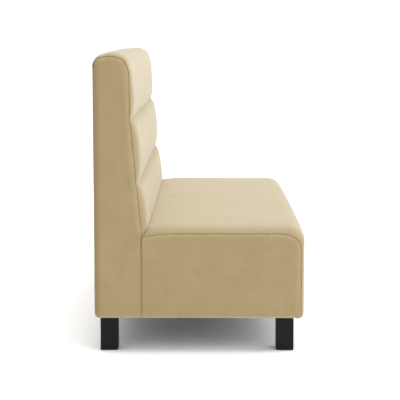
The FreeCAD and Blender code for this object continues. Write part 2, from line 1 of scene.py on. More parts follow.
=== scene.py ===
# %% [markdown]
# # An upholstered restaurant bench
# The bench has a high channelled back, a padded seat box and four black block legs. The
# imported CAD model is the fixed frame: its timber, springs and legs stay as they are. This
# lesson dresses that frame. It makes the covers and cushions as meshes, lets a cloth
# simulation relax them, and gives every piece the finish of its real material.

import json
import math
from functools import partial

import bpy
import numpy as np
from numpy.linalg import norm
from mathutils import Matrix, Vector, noise
from mathutils.geometry import tessellate_polygon


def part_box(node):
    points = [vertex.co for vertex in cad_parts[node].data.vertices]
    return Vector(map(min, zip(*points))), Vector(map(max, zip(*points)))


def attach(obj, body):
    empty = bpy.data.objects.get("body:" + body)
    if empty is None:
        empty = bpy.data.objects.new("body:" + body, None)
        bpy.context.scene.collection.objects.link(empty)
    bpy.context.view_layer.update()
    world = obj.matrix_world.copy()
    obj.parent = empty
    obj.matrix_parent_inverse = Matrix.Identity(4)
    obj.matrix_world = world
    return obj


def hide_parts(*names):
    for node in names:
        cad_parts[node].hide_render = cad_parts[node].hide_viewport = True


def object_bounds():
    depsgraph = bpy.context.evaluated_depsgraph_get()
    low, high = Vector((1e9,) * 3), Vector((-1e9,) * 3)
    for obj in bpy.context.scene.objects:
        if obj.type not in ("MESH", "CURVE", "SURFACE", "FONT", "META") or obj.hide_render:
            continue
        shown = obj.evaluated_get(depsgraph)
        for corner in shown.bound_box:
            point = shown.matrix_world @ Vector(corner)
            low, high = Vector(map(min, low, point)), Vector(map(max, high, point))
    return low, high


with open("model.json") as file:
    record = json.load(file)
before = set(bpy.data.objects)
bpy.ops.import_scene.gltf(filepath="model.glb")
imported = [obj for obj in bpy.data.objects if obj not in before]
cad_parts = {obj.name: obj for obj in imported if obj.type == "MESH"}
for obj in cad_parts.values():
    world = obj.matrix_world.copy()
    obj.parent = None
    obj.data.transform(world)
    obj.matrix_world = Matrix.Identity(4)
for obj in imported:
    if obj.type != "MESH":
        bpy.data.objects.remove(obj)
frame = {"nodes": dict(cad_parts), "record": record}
cad_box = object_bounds()
nodes = frame["nodes"]
print(f"{len(nodes)} CAD nodes, box {[tuple(round(c, 3) for c in corner) for corner in cad_box]}")

# %% [markdown]
# ## Sizes
# Everything is in metres. The big sizes are read from the frame, so the looks follow the
# construction. A place on a section is written as (forward, height): how far it lies in
# front of the wall plane, and how high above the floor.

# %% Read the big sizes from the frame
mm = 0.001
low_corner, high_corner = cad_box
half_length = high_corner.x
wall_plane = high_corner.y
bench_depth = wall_plane - low_corner.y
bench_height = high_corner.z
seat_low, seat_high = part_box("seat_cover")
seat_height = seat_high.z
underside = seat_low.z
seat_rear = wall_plane - seat_high.y
back_tuck = wall_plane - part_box("back_side_frame_left")[0].y
cover_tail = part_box("back_channel_cover")[0].z
cover_lap = 16 * mm
outer_cover_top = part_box("outer_back_cover")[1].z - cover_lap
print(f"seat at {seat_height:.3f} m, back foot {back_tuck:.4f} m deep, underside at {underside:.3f} m")

# %% Name the shapes of the upholstery
seam_x = half_length - 2 * mm
pad_x = half_length - 8 * mm
seat_crown = 28.5 * mm
seat_roll = 42 * mm
seat_front_drop = (57 * mm, 51 * mm)
seat_front_reach = (74 * mm, 58 * mm)
seat_rear_rise = 113 * mm
seat_rear_drop = 26 * mm
seat_bottom_radius = 14 * mm
front_bulge = 15 * mm
cover_wrap = 38 * mm
back_crown = 20.5 * mm
back_roll = 29.5 * mm
back_foot_end = seat_height - seat_crown - 6 * mm
back_foot_middle = seat_height - 4 * mm
upper_depth = 133 * mm
channel_bulge = 24 * mm
lower_bulge = 26 * mm
seam_forward = 4 * mm
rear_corner_end = 33 * mm
rear_corner_middle = 67 * mm
rear_foot_radius = 16 * mm
tail_gap = 0.6 * mm
# Powers that say how three forms follow the crown's fullness
front_power, head_power, rear_corner_power = 1.2, 0.55, 4

# The channels' heights as shares of the back's rise over the seat, and the rake from the
# depth at the upper seam to the depth at the seat
top_channel_share, middle_channel_share = 0.3924, 0.3657
back_rise = bench_height - seat_height
upper_seam = bench_height - top_channel_share * back_rise
lower_seam = upper_seam - middle_channel_share * back_rise
foot_proud = 0.7 * mm
rake = (back_tuck + foot_proud - upper_depth) / (upper_seam - seat_height)

# Places along the upper front as shares of the upper depth and of the rise over the seam,
# and along a channel as shares of its length and bulge; the seat's rear rise is in shares
# of its length and drop
top_end_shares = ((0.996, 0.144), (0.992, 0.300), (0.989, 0.560),
                  (0.962, 0.790), (0.845, 0.945), (0.647, 1.0))
top_middle_shares = ((1.098, 0.126), (1.122, 0.258), (1.095, 0.513),
                     (1.030, 0.757), (0.905, 0.920), (0.600, 1.0))
channel_shares = ((0.050, 0.45), (0.195, 0.83), (0.460, 1.0), (0.720, 0.80), (0.880, 0.47), (1.0, 0.0))
lower_channel_shares = ((0.070, 0.42), (0.300, 0.82), (0.640, 1.0), (1.0, 1.0))
rear_rise_shares = ((0.0, 1.0), (0.018, 0.67), (0.106, 0.44), (0.257, 0.26), (0.504, 0.12), (1.0, 0.0))
print(f"channel seams at {upper_seam:.3f} m and {lower_seam:.3f} m, rake {rake:.3f}")

# %% [markdown]
# ## Camera
# The bench is seen from its left end, from far off with a long lens, with the eye a little
# above the back's height. The camera comes first, because each look is judged through it.
# A slight downward tilt does most of the framing, and a small shift the rest, so that the
# upright edges stay nearly parallel.


# %% Place the camera
def add_object(name, data):
    """A new object in the scene."""
    made = bpy.data.objects.new(name, data)
    bpy.context.scene.collection.objects.link(made)
    return made


camera_data = bpy.data.cameras.new("photo_camera")
camera_data.lens = 103.33
camera_data.shift_y = -0.10
camera = add_object("photo_camera", camera_data)
camera.location = (-4.7807, -0.0168, 1.128)
camera_tilt = math.radians(6.113)
camera_turn = math.radians(0.245)
camera.rotation_euler = (math.pi / 2 - camera_tilt, 0, -math.pi / 2 + camera_turn)
bpy.context.scene.camera = camera
near_gap = -camera.location.x - half_length
print(f"camera {near_gap:.2f} m in front of the near end, lens {camera_data.lens:.1f} mm")

# %% [markdown]
# ## Curves and grids
# A fabric cover is a skin over foam, so its section is a run of smooth curves that meet in
# sharp seams. Each section here is a list of runs. A run is drawn through a few places and
# then sampled evenly, or more closely towards its ends, where a seam needs fine detail.


# %% Draw one run through a few places
samples_per_place = 40


def path_lengths(places):
    """How far along its path each place lies."""
    return np.concatenate([[0], np.cumsum(norm(np.diff(places, axis=0), axis=1))])


def resampled(places, wanted):
    """The places at the wanted distances along a path."""
    along = path_lengths(places)
    return np.column_stack([np.interp(wanted, along, places[:, axis]) for axis in (0, 1)])


def smooth_run(places, count, crowd=0.0):
    """Count places on a smooth curve from the first place up to, not including, the last."""
    through = np.array(places, float)
    chords = norm(np.diff(through, axis=0), axis=1)
    knots = path_lengths(through)
    slopes = np.gradient(through, knots, axis=0, edge_order=2 if len(through) > 2 else 1)
    fine = np.linspace(0, knots[-1], samples_per_place * len(through))
    span = np.clip(np.searchsorted(knots, fine, side="right") - 1, 0, len(chords) - 1)
    t = ((fine - knots[span]) / chords[span])[:, None]
    step = chords[span][:, None]
    drawn = ((2 * t**3 - 3 * t**2 + 1) * through[span] + (t**3 - 2 * t**2 + t) * step * slopes[span]
             + (3 * t**2 - 2 * t**3) * through[span + 1] + (t**3 - t**2) * step * slopes[span + 1])
    even = np.arange(count) / count
    share = (1 - crowd) * even + crowd * (1 - np.cos(math.pi * even)) / 2
    return resampled(drawn, share * path_lengths(drawn)[-1])


def arc_run(centre, radii, start, end, count):
    """Count places on an arc between two angles in degrees, not including the last."""
    angles = np.radians(start + (end - start) * np.arange(count) / count)
    return np.column_stack([centre[0] + radii[0] * np.cos(angles), centre[1] + radii[1] * np.sin(angles)])


print(f"a test run has {len(smooth_run([(0, 0), (1, 1), (2, 0)], 12))} places")


# %% [markdown]
# At each end of the bench the crown rolls down to the end seam. The fall is steep in the
# first centimetres and then fades out over a long way, which is how a cover pulled tight
# over a foam block looks.


# %% Say how full the crown is along the bench
# Each fall is a share of the crown, and its length as a share of the roll's length
fall_shares = ((0.72, 0.44), (0.13, 2.2), (0.15, 11.0))


def fallen(away):
    """The part of the crown that is still missing at a distance from the seam in rolls."""
    return sum(part * math.exp(-away / length) for part, length in fall_shares)


def fullness_at(x, roll_length):
    """0 at the end seam and 1 in the middle of the bench."""
    least = fallen(seam_x / roll_length)
    return 1 - (fallen((seam_x - abs(x)) / roll_length) - least) / (1 - least)


def mixed(first, second, share):
    """A place between two places."""
    return tuple(a + (b - a) * share for a, b in zip(first, second))


def stations(spacing):
    """Places along the bench: close together near both ends, evenly spaced between them."""
    near_end = np.array([0, 1, 2.5, 4.5, 7, 10, 13.5, 17.5, 22, 27, 32.5, 38.5, 45, 52]) * mm
    inner = seam_x - near_end[-1]
    middle = np.linspace(-inner, inner, round(2 * inner / spacing) + 1)
    return np.concatenate([near_end[:-1] - seam_x, middle, (seam_x - near_end[:-1])[::-1]])


print(f"crown {fullness_at(seam_x - 10 * mm, back_roll):.2f} full at 10 mm from the seam")


# %% [markdown]
# ## Seat section
# The seat's cover runs up the rear, over the crown, round the soft front edge, down the
# front and under the front rail. The front face swells a little between its edges.


# %% Draw the seat's section
# The number of places in each run, from the rear to the underside
seat_counts = (5, 21, 38, 12, 26, 6, 3)


def seat_section(fullness):
    """Places up the rear, over the top, down the front and under."""
    rear, over, flat, edge, down, lower_edge, under = seat_counts
    top = seat_height - seat_crown * (1 - fullness)
    front = bench_depth - front_bulge * (1 - fullness) ** front_power
    reach, drop = mixed(*zip(seat_front_reach, seat_front_drop), fullness)
    radius = seat_bottom_radius
    rise = [(seat_rear + along * seat_rear_rise, top - fall * seat_rear_drop)
            for along, fall in rear_rise_shares]
    runs = [
        smooth_run([(seat_rear, cover_tail), rise[0]], rear),
        smooth_run(rise, over, crowd=0.2),
        smooth_run([rise[-1], (front - reach, top)], flat),
        arc_run((front - reach, top - drop), (reach, drop), 90, 0, edge),
        smooth_run([(front, top - drop), (front, underside + radius)], down),
        arc_run((front - radius, underside + radius), (radius, radius), 0, -90, lower_edge),
        smooth_run([(front - radius, underside), (bench_depth - cover_wrap, underside)], under),
        [(bench_depth - cover_wrap, underside)],
    ]
    return np.vstack(runs)


print(f"the seat's section has {len(seat_section(1))} places")


# %% [markdown]
# ## Back section
# Two sewn seams run the length of the back and make three channels. Each channel is a soft
# bulge square to the raked front, and the top one rolls over the back's head. Below the
# lowest channel the cover turns in behind the seat.


# %% Draw the back's section
# The number of places in each run, from the rear round to the tuck behind the seat
back_counts = (2, 11, 38, 27, 16, 6, 4)
back_seam_rows = [sum(back_counts[:3]), sum(back_counts[:4])]


def seam_depth(height):
    """How far forward the raked end seam lies at a height."""
    return upper_depth + (upper_seam - height) * rake


def bulged(shares, top, bottom, bulge):
    """The start of a channel and its places, bulging square to its chord."""
    run = np.subtract(top, bottom)
    out = np.array([run[1], -run[0]]) / norm(run)
    return [top] + [tuple(np.array(mixed(top, bottom, along)) + out * bulge * proud)
                    for along, proud in shares]


def back_section(fullness):
    """Places up the rear, over the head, down the channels and in behind the seat."""
    rear, head, over, channel, lower_channel, turn, tuck = back_counts
    top = bench_height - back_crown * (1 - fullness) ** head_power
    deep = rear_corner_end + (rear_corner_middle - rear_corner_end) * fullness ** rear_corner_power
    tail = outer_cover_top + tail_gap
    upper = (seam_depth(upper_seam) + seam_forward * fullness, upper_seam)
    lower = (seam_depth(lower_seam) + seam_forward * fullness, lower_seam)
    front_top = []
    for end, middle in zip(top_end_shares[::-1], top_middle_shares[::-1]):
        at_end = (end[0] * upper_depth, upper_seam + end[1] * (bench_height - back_crown - upper_seam))
        at_middle = (middle[0] * upper_depth, upper_seam + middle[1] * (bench_height - upper_seam))
        front_top.append(mixed(at_end, at_middle, fullness))
    foot = back_foot_end + (back_foot_middle - back_foot_end) * fullness
    last = bulged(lower_channel_shares, lower, (seam_depth(foot), foot), lower_bulge * fullness)
    tuck_drop = (13 - 3 * fullness) * mm
    tuck_low = last[-1][1] - tuck_drop
    runs = [
        smooth_run([(0, tail), (0, tail + mm)], rear),
        arc_run((deep, tail + mm), (deep, top - tail - mm), 180, 90, head),
        smooth_run([(deep, top), *front_top, upper], over, crowd=0.35),
        smooth_run(bulged(channel_shares, upper, lower, channel_bulge * fullness), channel, crowd=0.5),
        smooth_run(last, lower_channel, crowd=0.35),
        arc_run((back_tuck, last[-1][1]), (last[-1][0] - back_tuck, tuck_drop), 0, -90, turn),
        smooth_run([(back_tuck, tuck_low), (back_tuck, cover_tail)], tuck),
        [(back_tuck, cover_tail)],
    ]
    return np.vstack(runs)


print(f"the back's section has {len(back_section(1))} places")


# %% [markdown]
# ## Skins
# A skin is a grid: one section at each station along the bench. Small forms that foam and
# thread make are added as moves along the surface's own normal. Noise for them comes from
# a fixed field, so that the bench is the same at each run.


# %% Make grids and read their normals
# The raw noise seldom passes 0.6, and this gain brings it to about 1
noise_gain = 1.6


def at_station(places, x):
    """A section's places at a station along the bench, as points in the frame."""
    places = np.asarray(places)
    return np.column_stack([np.full(len(places), x), wall_plane - places[:, 0], places[:, 1]])


def skin_grid(section, xs, roll_length):
    """A section at each station, as an array of points in the frame."""
    return np.array([at_station(section(fullness_at(x, roll_length)), x) for x in xs])


def grid_normals(grid):
    """The outward normal at each point of a grid."""
    along_x = np.gradient(grid, axis=0)
    along_section = np.gradient(grid, axis=1)
    across = np.cross(along_section, along_x)
    return across / np.maximum(norm(across, axis=2, keepdims=True), 1e-12)


def waves(points, sizes, seed):
    """Smooth noise between about -1 and 1 with features of the given sizes along x, y and z."""
    shift = Vector((seed * 7.31, seed * 3.17, seed * 5.93))
    flat = points.reshape(-1, 3) / np.array(sizes)
    return np.array([noise.noise(Vector(p) + shift) for p in flat]).reshape(points.shape[:-1]) * noise_gain


def near(distance, width):
    """A smooth bump that is 1 at no distance and fades over a width."""
    return np.exp(-(distance / width) ** 2)


def fade(value, start, end):
    """0 before start and 1 after end, with smooth ends."""
    share = np.clip((value - start) / (end - start), 0, 1)
    return share * share * (3 - 2 * share)


def section_distance(grid, row):
    """How far each point lies along its section from the given row."""
    steps = norm(np.diff(grid, axis=1), axis=2)
    along = np.concatenate([np.zeros((len(grid), 1)), np.cumsum(steps, axis=1)], axis=1)
    return np.abs(along - along[:, row:row + 1])


print(f"noise at one place: {waves(np.array([[0.1, 0.2, 0.3]]), (0.1, 0.1, 0.1), 1)[0]:.3f}")


# %% Turn a grid into a closed cushion
def smooth_object(name, verts, faces):
    """A mesh object with smooth shading."""
    mesh = bpy.data.meshes.new(name)
    mesh.from_pydata([tuple(v) for v in verts], [], faces)
    mesh.validate()
    mesh.shade_smooth()
    return add_object(name, mesh)


def grid_faces(rows, columns):
    """Quads of a grid, facing outward for skins drawn up the rear and down the front."""
    return [(i * columns + j, i * columns + j + 1, (i + 1) * columns + j + 1, (i + 1) * columns + j)
            for i in range(rows - 1) for j in range(columns - 1)]


def turned_in(grid, steps):
    """The grid with its two ends turned in: each step is (towards the middle, inset)."""
    ends = []
    for side in (0, -1):
        rim = grid[side]
        run = np.gradient(rim, axis=0)
        inward = np.column_stack([np.zeros(len(rim)), -run[:, 2], run[:, 1]])
        inward /= norm(inward, axis=1, keepdims=True)
        middle = np.array([-np.sign(rim[0, 0]), 0, 0])
        ends.append([rim + inward * inset + middle * back for back, inset in steps])
    return np.array(ends[0][::-1] + list(grid) + ends[1])


def cap(loop, first, side):
    """Triangles across a closed loop of mesh points, facing towards a side along x."""
    made = []
    for a, b, c in tessellate_polygon([[Vector(place) for place in loop]]):
        turn = np.cross(loop[b] - loop[a], loop[c] - loop[a])[0]
        made.append(tuple(first + k for k in ((a, b, c) if turn * side > 0 else (a, c, b))))
    return made


def closed_cushion(name, grid, rear_places):
    """A closed mesh: the skin, a rear side through the given places, and two end faces."""
    rows = len(grid)
    rear = np.array([at_station(rear_places, x) for x in grid[:, 0, 0]])
    loops = np.concatenate([grid, rear], axis=1)
    columns = loops.shape[1]
    faces = grid_faces(rows, columns)
    faces += [(i * columns + columns - 1, i * columns, (i + 1) * columns, (i + 1) * columns + columns - 1)
              for i in range(rows - 1)]
    faces += cap(loops[0], 0, -1) + cap(loops[-1], (rows - 1) * columns, 1)
    return smooth_object(name, loops.reshape(-1, 3), faces)


def subdivide(piece):
    """One more level of smooth faces at render time."""
    modifier = piece.modifiers.new("smooth_faces", "SUBSURF")
    modifier.levels = 1
    modifier.render_levels = 1
    return piece


def report(piece):
    """Print a piece's size and faces."""
    low, high = (Vector([pick(v.co[axis] for v in piece.data.vertices) for axis in range(3)])
                 for pick in (min, max))
    print(f"{piece.name}: {len(piece.data.polygons)} faces, size {tuple(round(c, 3) for c in high - low)}")


# %% [markdown]
# ## Cloth
# A cover is cut a little larger than the foam under it and held at its seams, so it swells
# softly between them and gathers beside them. A short cloth simulation gives that: each
# skin is held firmly along its seams and loosely elsewhere, pushed out by a light pressure
# with no gravity, and then read back. The moves are smoothed, because a taut nubuck cover
# shows no sharp wrinkles, and capped, so the measured shape stays.


# %% Relax a skin as cloth
cloth_settings = {
    "quality": 5, "mass": 0.3, "tension_stiffness": 20, "compression_stiffness": 20,
    "shear_stiffness": 8, "bending_stiffness": 0.4, "shrink_min": -0.012,
    "vertex_group_mass": "hold", "pin_stiffness": 1.0,
    "use_pressure": True, "uniform_pressure_force": 4,
}
cloth_frames = 20
smoothing_passes = 8


def relaxed(name, grid, holds, most):
    """The grid after a short cloth simulation, held as given and moved no further than most."""
    cloth = smooth_object(name, grid.reshape(-1, 3), grid_faces(*grid.shape[:2]))
    group = cloth.vertex_groups.new(name="hold")
    for index, hold in enumerate(holds.ravel()):
        group.add([index], float(hold), "REPLACE")
    modifier = cloth.modifiers.new("relax", "CLOTH")
    for setting, value in cloth_settings.items():
        setattr(modifier.settings, setting, value)
    modifier.settings.effector_weights.gravity = 0
    modifier.collision_settings.use_collision = False
    scene = bpy.context.scene
    modifier.point_cache.frame_start = 1
    modifier.point_cache.frame_end = cloth_frames
    for step in range(1, cloth_frames + 1):
        scene.frame_set(step)
    settled = cloth.evaluated_get(bpy.context.evaluated_depsgraph_get())
    places = np.zeros(len(cloth.data.vertices) * 3)
    settled.data.vertices.foreach_get("co", places)
    moved = places.reshape(grid.shape) - grid
    for _ in range(smoothing_passes):
        beside = moved[:-2, 1:-1] + moved[2:, 1:-1] + moved[1:-1, :-2] + moved[1:-1, 2:]
        moved[1:-1, 1:-1] = moved[1:-1, 1:-1] / 2 + beside / 8
    far = norm(moved, axis=2, keepdims=True)
    moved *= np.tanh(far / most) * most / np.maximum(far, 1e-9)
    scene.frame_set(1)
    bpy.data.objects.remove(cloth)
    print(f"{name}: the smoothed moves reach {far.max() / mm:.1f} mm, median {np.median(far) / mm:.1f} mm")
    return grid + moved


# %% [markdown]
# ## Seat cushion
# The seat is one firm foam block under one smooth cover, so its skin has no seam except at
# the two ends. What the eye reads on it is small: broad shallow waves from front to back
# where people sit down, and a light gathering along the end seams. The closed form also
# stands for the foam that the cover hides.

# %% Make the seat cushion
end_fold = ((0.3 * mm, 0.5 * mm), (1.2 * mm, 1.1 * mm), (3 * mm, 1.5 * mm), (5.5 * mm, 1.7 * mm))
held_width = 9 * mm
loose_hold = 0.3


def from_seam(grid):
    """How far each point of a skin lies from the nearer end seam."""
    return seam_x - np.abs(grid[..., 0])


def hidden_rows(counts):
    """1 at the rows of a section that nobody sees, at its rear and at its tail, and 0 elsewhere."""
    hidden = np.zeros(sum(counts) + 1)
    hidden[:counts[0]] = 1
    hidden[-counts[-1] - 2:] = 1
    return hidden


def hold_weights(grid, firm_rows):
    """How firmly the cloth is held: fully at the end seams and the firm rows."""
    at_ends = 1 - fade(from_seam(grid), 0, held_width)
    return np.maximum(np.maximum(at_ends, firm_rows[None, :]), loose_hold)


def make_seat():
    """The closed seat cushion: long waves, calmer over the front edge, and gathered ends."""
    grid = skin_grid(seat_section, stations(spacing=8.2 * mm), seat_roll)
    hidden = hidden_rows(seat_counts)
    grid = relaxed("seat_cloth", grid, hold_weights(grid, hidden), most=1.5 * mm)
    from_end = from_seam(grid)
    front_zone = 90 * mm
    folds = waves(grid, (0.085, 0.55, 0.30), seed=3) * 0.8 + waves(grid, (0.035, 0.22, 0.2), seed=5) * 0.2
    folds *= fade(wall_plane - bench_depth + front_zone - grid[..., 1], front_zone, 0) * 0.7 + 0.3
    gathers = waves(grid, (0.05, 0.022, 0.022), seed=7) * near(from_end, 22 * mm) * 0.35
    move = (folds * fade(from_end, 0, 60 * mm) + gathers) * (1 - hidden)[None, :]
    grid += grid_normals(grid) * (move * mm)[..., None]
    grid = turned_in(grid, end_fold)
    foam_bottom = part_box("seat_foam")[0].z
    rail_front = wall_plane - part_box("seat_front_rail")[0].y
    wrap_level = underside + 1.2 * mm
    rear_places = [(bench_depth - cover_wrap, wrap_level), (rail_front, wrap_level),
                   (rail_front, foam_bottom), (seat_rear + 1.5 * mm, foam_bottom)]
    return closed_cushion("seat_cushion", grid, rear_places)


seat_cushion = subdivide(make_seat())
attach(seat_cushion, "bench")
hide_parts("seat_cover", "seat_foam", "front_rail_foam")
report(seat_cushion)

# %% [markdown]
# ## Back cushion
# The back's cover is sewn through to the board along two lines, and the foam swells into
# three channels between them. Each seam is a narrow crease with small puckers beside it.
# Near the ends a crease runs out flat, and the end seam is drawn in a little where the
# channel seams reach it. The creases are added after the simulation, which would blur them.


# %% Make the back cushion
def make_back():
    """The closed channelled cushion of the back, creased at its seams after the cloth."""
    grid = skin_grid(back_section, stations(spacing=7.4 * mm), back_roll)
    hidden = hidden_rows(back_counts)
    firm = hidden.copy()
    firm[back_seam_rows] = 1
    grid = relaxed("back_cloth", grid, hold_weights(grid, firm), most=2 * mm)
    from_end = from_seam(grid)
    inside = fade(from_end, 4 * mm, 34 * mm)
    long_waves = waves(grid, (0.14, 0.2, 0.09), seed=11) * 0.5 * fade(from_end, 0, 60 * mm)
    gathers = waves(grid, (0.022, 0.05, 0.05), seed=13) * near(from_end, 20 * mm) * 0.3
    move = long_waves + gathers
    for row in back_seam_rows:
        away = section_distance(grid, row)
        crease = near(away, 2.1 * mm) * (0.8 + 1.9 * inside)
        puckers = waves(grid, (0.016, 0.3, 0.3), seed=17 + row) * near(away - 8 * mm, 9 * mm) * 0.45 * inside
        drawn_in = near(away, 9 * mm) * near(from_end, 12 * mm) * 2.2
        move = move - crease + puckers - drawn_in
    grid += grid_normals(grid) * (move * (1 - hidden)[None, :] * mm)[..., None]
    grid = turned_in(grid, end_fold)
    board_front = 20 * mm
    top_rail_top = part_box("back_top_rail")[1].z
    rear_places = [(seam_depth(cover_tail) - board_front, cover_tail),
                   (seam_depth(top_rail_top) - board_front, top_rail_top),
                   (2 * mm, top_rail_top)]
    return closed_cushion("back_cushion", grid, rear_places)


back_cushion = subdivide(make_back())
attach(back_cushion, "bench")
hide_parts("back_channel_cover", "back_foam_lower", "back_foam_middle", "back_foam_top")
report(back_cushion)

# %% [markdown]
# ## End panels
# Each end has two flat panels, one on the back and one on the seat box, padded with a thin
# sheet of foam. Where a panel is sewn to the cover it has a rolled edge: a crease, a slim
# ridge beside it and a shallow dip, and then a slow rise to the flat. At the rear it rolls
# round the corner, and where the two panels meet they make a narrow groove. A painted
# highlight, lighter on the ridges and along the lower edge, where the rolled edges catch the
# light, is kept as a value of its own for the finish. The mesh is made of rings that follow
# the rim, close together where the edge is shaped. Each point of a ring lies on a ray from
# the panel's middle line, so the rings close cleanly.


# %% Draw the rims of the end panels
rim_spacing = 1 * mm
panel_foot_radius = 8 * mm


def even_line(start, end):
    """Close places along a straight run, not including the last."""
    length = math.hypot(end[0] - start[0], end[1] - start[1])
    return np.linspace(start, end, max(2, round(length / rim_spacing)), endpoint=False)


def corner(centre, radius, start, end):
    """Close places round a corner, not including the last."""
    return arc_run(centre, (radius, radius), start, end, max(6, round(radius / rim_spacing)))


def refined(places):
    """A coarse run drawn again with close places."""
    return resampled(places, np.arange(0, path_lengths(places)[-1], rim_spacing))


def back_rim():
    """The rim of the back's end panel as labelled runs, from the lower rear up and round."""
    section = back_section(0)
    low, radius, foot = underside, rear_foot_radius, panel_foot_radius
    sewn = section[section[:, 1] > back_foot_end]
    turn = section[len(sewn) - 1:-1].copy()
    sewn_start = back_counts[0] + 4
    for seam in (upper_seam, lower_seam):
        sewn[:, 0] -= 1.6 * mm * near(sewn[:, 1] - seam, 9 * mm) * (sewn[:, 0] > upper_depth / 2)
    return [
        ("rear", even_line((0, low + radius), section[0])),
        ("rear", refined(section[:sewn_start + 1])),
        ("sewn", refined(sewn[sewn_start:])),
        ("joint", refined(turn)),
        ("joint", even_line(section[-1], (back_tuck, low + foot))),
        ("low", corner((back_tuck - foot, low + foot), foot, 0, -90)),
        ("low", even_line((back_tuck - foot, low), (radius, low))),
        ("low", corner((radius, low + radius), radius, 270, 180)),
    ]


def seat_rim():
    """The rim of the seat box's end panel as labelled runs."""
    section = seat_section(0)
    low, radius, foot = underside, seat_bottom_radius, panel_foot_radius
    front = bench_depth - front_bulge
    rear_rows = seat_counts[0]
    wrap_rows = sum(seat_counts[-2:]) + 1
    return [
        ("joint", even_line((seat_rear, low + foot), section[rear_rows])),
        ("sewn", refined(section[rear_rows:-wrap_rows])),
        ("sewn", even_line(section[-wrap_rows - 1], (front, low + radius))),
        ("low", corner((front - radius, low + radius), radius, 0, -90)),
        ("low", even_line((front - radius, low), (seat_rear + foot, low))),
        ("low", corner((seat_rear + foot, low + foot), foot, 270, 180)),
    ]


print(f"{len(back_rim())} runs round the back's panel, {len(seat_rim())} round the seat's")


# %% Move the rims in and blend their kinds
kinds = ("sewn", "rear", "joint", "low")
rim_insets = np.array([0.9, 0.3, 1.3, 0.3]) * mm
blend_places = 14
least_gap = 0.05 * mm


def drawn_rim(runs):
    """The rim moved in by each kind's inset, with how much of each kind every place is."""
    places = np.vstack([run for _, run in runs])
    weights = np.vstack([np.tile([float(kind == name) for name in kinds], (len(run), 1))
                         for kind, run in runs])
    keep = norm(np.roll(places, -1, axis=0) - places, axis=1) > least_gap
    places, weights = places[keep], weights[keep]
    window = np.hanning(2 * blend_places + 3)[1:-1]
    padded = np.vstack([weights[-blend_places:], weights, weights[:blend_places]])
    weights = np.column_stack([np.convolve(padded[:, k], window / window.sum(), "valid")
                               for k in range(len(kinds))])
    run = np.roll(places, -1, axis=0) - np.roll(places, 1, axis=0)
    inward = np.column_stack([run[:, 1], -run[:, 0]])
    inward /= norm(inward, axis=1, keepdims=True)
    return places + inward * (weights @ rim_insets)[:, None], weights


for rim in (back_rim(), seat_rim()):
    places, weights = drawn_rim(rim)
    depth, height = np.ptp(places, axis=0)
    print(f"rim of {len(places)} places, {depth:.3f} m deep and {height:.3f} m high")


# %% Shape the edge of a panel
rear_width, joint_width, low_width = 24 * mm, 7 * mm, 8 * mm
pad_drop = 7.4 * mm


def rolled_edge(away, width, depth):
    """How deep a rounded edge lies at a distance from the rim."""
    share = np.clip(1 - away / width, 0, 1)
    return depth * (1 - np.sqrt(1 - share * share))


def sewn_edge(away):
    """How deep a sewn edge lies: crease, ridge, dip and a slow rise to the flat."""
    slope = 4.6 * mm * (1 - fade(away, 0, 27 * mm))
    crease = 3.3 * mm * near(away, 0.9 * mm)
    ridge = 1.3 * mm * near(away - 5.4 * mm, 3.2 * mm)
    dip = 0.5 * mm * near(away - 11 * mm, 4 * mm)
    return slope + crease - ridge + dip


def panel_depth(away, weights):
    """How far below the end plane a panel lies, by its distance from the rim."""
    rolled = [rolled_edge(away, width, pad_drop) for width in (rear_width, joint_width, low_width)]
    edges = np.column_stack([sewn_edge(away), *rolled])
    return (edges * weights).sum(axis=1)


print(f"a sewn edge lies {sewn_edge(np.array([5 * mm]))[0] / mm:.1f} mm deep at its ridge")


# %% Measure from and to the rim
def nearest_on_rim(points, rim):
    """Each point's distance to the rim and the index of the nearest rim place."""
    ends = np.roll(rim, -1, axis=0)
    runs = ends - rim
    lengths = (runs ** 2).sum(axis=1)
    offsets = points[:, None, :] - rim[None, :, :]
    share = np.clip((offsets * runs).sum(axis=2) / lengths, 0, 1)
    apart = norm(offsets - share[..., None] * runs, axis=2)
    index = apart.argmin(axis=1)
    return apart[np.arange(len(points)), index], index


def ray_lengths(starts, directions, rim):
    """How far each ray runs from its start to the rim."""
    lengths = []
    runs = np.roll(rim, -1, axis=0) - rim
    for start, direction in zip(starts, directions):
        offset = rim - start
        cross = direction[0] * runs[:, 1] - direction[1] * runs[:, 0]
        cross = np.where(np.abs(cross) < 1e-12, 1e-12, cross)
        along = (offset[:, 0] * runs[:, 1] - offset[:, 1] * runs[:, 0]) / cross
        share = (offset[:, 0] * direction[1] - offset[:, 1] * direction[0]) / cross
        hits = (share >= 0) & (share < 1) & (along > 0)
        lengths.append(along[hits].min())
    return np.array(lengths)


def middle_rays(first, last, spacing, fan):
    """Rays from both sides of a middle line, fanned round its ends, and their places on it."""
    axis = (last - first) / norm(last - first)
    left = np.array([-axis[1], axis[0]])
    count = max(3, round(norm(last - first) / spacing))
    line = np.linspace(first, last, count)
    turns = np.linspace(0, math.pi, fan + 2)[1:-1]
    round_last = [left * math.cos(a) + axis * math.sin(a) for a in turns]
    starts = np.vstack([line, np.tile(last, (fan, 1)), line[::-1], np.tile(first, (fan, 1))])
    directions = np.vstack([np.tile(left, (count, 1)), round_last, np.tile(-left, (count, 1)),
                            [-d for d in round_last]])
    on_line = [*range(count), *[count - 1] * fan, *range(count - 1, -1, -1), *[0] * fan]
    return line, starts, directions, on_line


square = np.array([(0.0, 0.0), (1.0, 0.0), (1.0, 1.0), (0.0, 1.0)])
print(f"a test ray runs {ray_lengths([(0.5, 0.5)], [(1.0, 0.0)], square)[0]:.2f} m to its rim")


